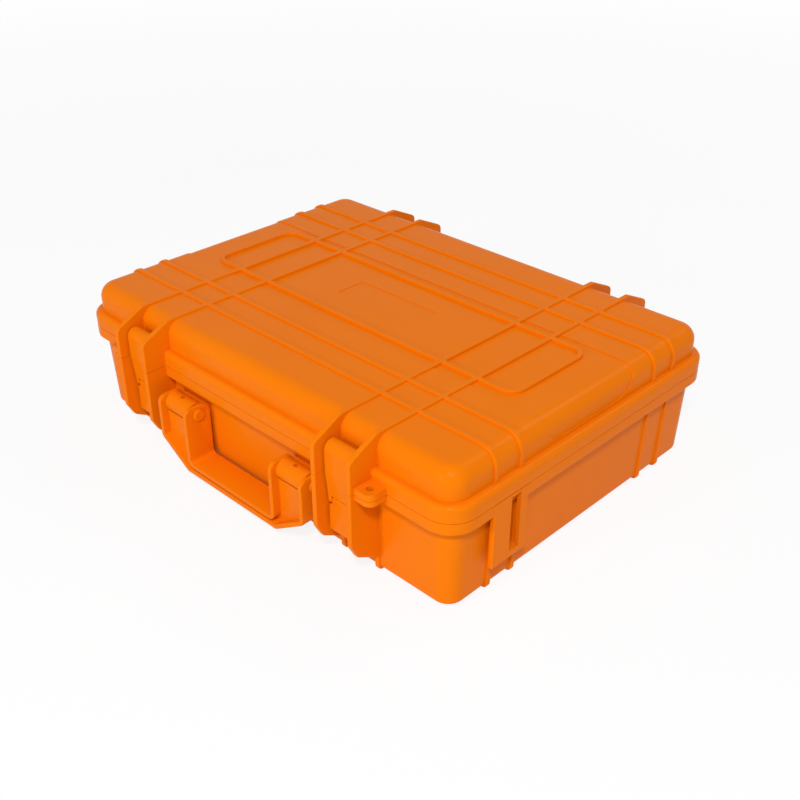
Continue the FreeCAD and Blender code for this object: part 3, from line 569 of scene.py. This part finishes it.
def column_tree(material):
    """Tree that stands a column on each point, each a little taller or shorter."""
    graph, given = tree_with("foam_columns", [("Points", "NodeSocketObject"),
                                              ("Column", "NodeSocketObject"),
                                              ("Unevenness", "NodeSocketFloat"),
                                              ("Seed", "NodeSocketInt")])
    points = graph.node("GeometryNodeObjectInfo", None, {"Object": given.out("Points")}).out("Geometry")
    column = graph.node("GeometryNodeObjectInfo", None, {"Object": given.out("Column")}).out("Geometry")
    tall = graph.node("FunctionNodeRandomValue", {"data_type": "FLOAT"},
                      {2: 1.0 - given.out("Unevenness"), 3: 1.0, "Seed": given.out("Seed")}).out(1)
    scale = graph.node("ShaderNodeCombineXYZ", None, {0: 1.0, 1: 1.0, 2: tall})
    copies = graph.node("GeometryNodeInstanceOnPoints", None,
                        {"Points": points, "Instance": column, "Scale": scale})
    close_tree(graph, joined(graph, given.out("Geometry"), copies), material)
    return graph


def inside(box, x, y):
    """Whether a place lies within a room's box, seen from above."""
    return box[0][0] < x < box[1][0] and box[0][1] < y < box[1][1]


def make_base_foam(material):
    """Pick-and-pluck tray: a border and columns, taken out where the wells are."""
    low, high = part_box("base_foam_tray")
    cells_x, cells_y = FOAM_CELLS
    wells = [ROOMS["main_well"], ROOMS["side_well"]]
    places = []
    for column in range(cells_x):
        for row in range(cells_y):
            x = (column - (cells_x - 1) / 2) * FOAM_CELL
            y = (row - (cells_y - 1) / 2) * FOAM_CELL
            if not any(inside(well, x, y) for well in wells):
                places.append((x, y, low[2]))
    mesh = bpy.data.meshes.new("foam_points")
    mesh.from_pydata(places, [], [])
    points = new_object("foam_points", mesh)
    column = foam_column(high[2] - low[2])
    tray = make_tray_border()
    run_tree(tray, column_tree(material),
             {"Points": points, "Column": column, "Unevenness": FOAM_UNEVENNESS, "Seed": SEED})
    for helper in (points, column):
        bpy.data.objects.remove(helper)
    put(tray, material, "base_foam_tray")


# Vent ---------------------------------------------------------------------------------

def spun(name, profile, height, steps=48):
    """Solid turned about an axis along Y at a height; profile lists (radius, y) between its ends."""
    solid = bmesh.new()
    rings = []
    for radius, y in profile:
        rings.append([solid.verts.new((radius * math.cos(2 * math.pi * step / steps), y,
                                       height + radius * math.sin(2 * math.pi * step / steps)))
                      for step in range(steps)])
    bridge(solid, rings)
    solid.faces.new(rings[0])
    solid.faces.new(rings[-1])
    bmesh.ops.recalc_face_normals(solid, faces=solid.faces)
    return from_solid(name, solid)


def slotted(thing, size, place):
    """Cut a box-shaped slot out of an object."""
    solid = bmesh.new()
    shaped = Matrix.Translation(place) @ Matrix.Diagonal((*size, 1.0))
    bmesh.ops.create_cube(solid, size=1.0, matrix=shaped)
    cutter = from_solid("slot_cutter", solid)
    cut = thing.modifiers.new("slot", "BOOLEAN")
    cut.operation = "DIFFERENCE"
    cut.solver = "EXACT"
    cut.object = cutter
    finished(thing)
    bpy.data.objects.remove(cutter)


def ridge_tree(material):
    """Tree that sets round grip ridges about a head whose axis runs along Y."""
    graph, given = tree_with("grip_ridges", [("Count", "NodeSocketInt"),
                                             ("Ring", "NodeSocketFloat"),
                                             ("Ridge", "NodeSocketFloat"),
                                             ("Length", "NodeSocketFloat"),
                                             ("Middle", "NodeSocketVector")])
    across = (math.pi / 2, 0.0, 0.0)
    circle = graph.node("GeometryNodeMeshCircle", None,
                        {"Vertices": given.out("Count"), "Radius": given.out("Ring")})
    upright = graph.node("GeometryNodeTransform", None,
                         {"Geometry": circle, "Translation": given.out("Middle"), "Rotation": across})
    ridge = graph.node("GeometryNodeMeshCylinder", None,
                       {"Vertices": 12, "Radius": given.out("Ridge"), "Depth": given.out("Length")})
    copies = graph.node("GeometryNodeInstanceOnPoints", None,
                        {"Points": upright, "Instance": ridge, "Rotation": across})
    close_tree(graph, joined(graph, given.out("Geometry"), copies), material)
    return graph


def make_vent_cap(material):
    """Pressure vent: shank through the wall, head with grip ridges and a coin slot."""
    low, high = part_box("vent_plug")
    height = (low[2] + high[2]) / 2
    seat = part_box("vent_seal")[1][1]
    head = (high[2] - low[2]) / 2 - VENT_RIDGE
    profile = [(VENT_SHANK - VENT_CHAMFER, low[1]), (VENT_SHANK, low[1] + VENT_CHAMFER),
               (VENT_SHANK, seat), (head, seat), (head, high[1] - VENT_CHAMFER),
               (head - VENT_CHAMFER, high[1])]
    cap = spun("vent_cap", profile, height)
    slotted(cap, VENT_SLOT, (0.0, high[1], height))
    rounded_edges(cap, VENT_EDGE, 2)
    ridge_length = high[1] - seat - VENT_CHAMFER
    run_tree(cap, ridge_tree(material),
             {"Count": VENT_RIDGES, "Ring": head, "Ridge": VENT_RIDGE, "Length": ridge_length,
              "Middle": (0.0, seat + ridge_length / 2, height)})
    put(cap, material, "vent_plug")


# Assembly of the scene ----------------------------------------------------------------

bpy.context.scene.view_settings.view_transform = "Standard"
make_world()
make_floor()
make_camera()
for lamp_settings in LAMPS:
    softbox(*lamp_settings)

skin_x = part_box("lid_foam")[1][0] + FOAM_TO_SKIN
skin_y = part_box("lid_foam")[1][1] + FOAM_TO_SKIN
skin_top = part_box("lid_foam")[1][2] + WALL


def on_skin(x, y, z):
    """1 on the walls and the top, 0 on what stands out from them: ribs, rims and cheeks."""
    return ((abs(x) < skin_x + PEBBLE_MARGIN) * (abs(y) < skin_y + PEBBLE_MARGIN)
            * (z < skin_top + PEBBLE_MARGIN))


shell_finish = moulded_orange("orange_pebbled", on_skin)
smooth_finish = moulded_orange("orange_smooth")
steel = brushed_steel()
rubber = soft_rubber()
foam = charcoal_foam()
nylon = black_nylon()

FINISH_OF = {"case_orange": shell_finish, "latch_orange": smooth_finish,
             "handle_orange": smooth_finish, "pin_steel": steel, "seal_rubber": rubber,
             "foam_dark": foam, "vent_black": nylon}
SLOT_OF = {part["node"]: part["material_slot"] for part in frame["record"]["subparts"]}
for name, node in frame["nodes"].items():
    paint(node, FINISH_OF[SLOT_OF[name]])

for side in ("left", "right"):
    softened("latch_lever_" + side, "lever_" + side, MOULDED_EDGE, smooth_finish)
softened("carry_handle", "handle", MOULDED_EDGE, smooth_finish)
softened("lid_seal", "seal_ring", SEAL_EDGE, rubber)
pad = softened("base_foam_pad", "floor_pad", PAD_EDGE, foam)
make_lid_foam(foam)
make_base_foam(foam)
make_vent_cap(nylon)
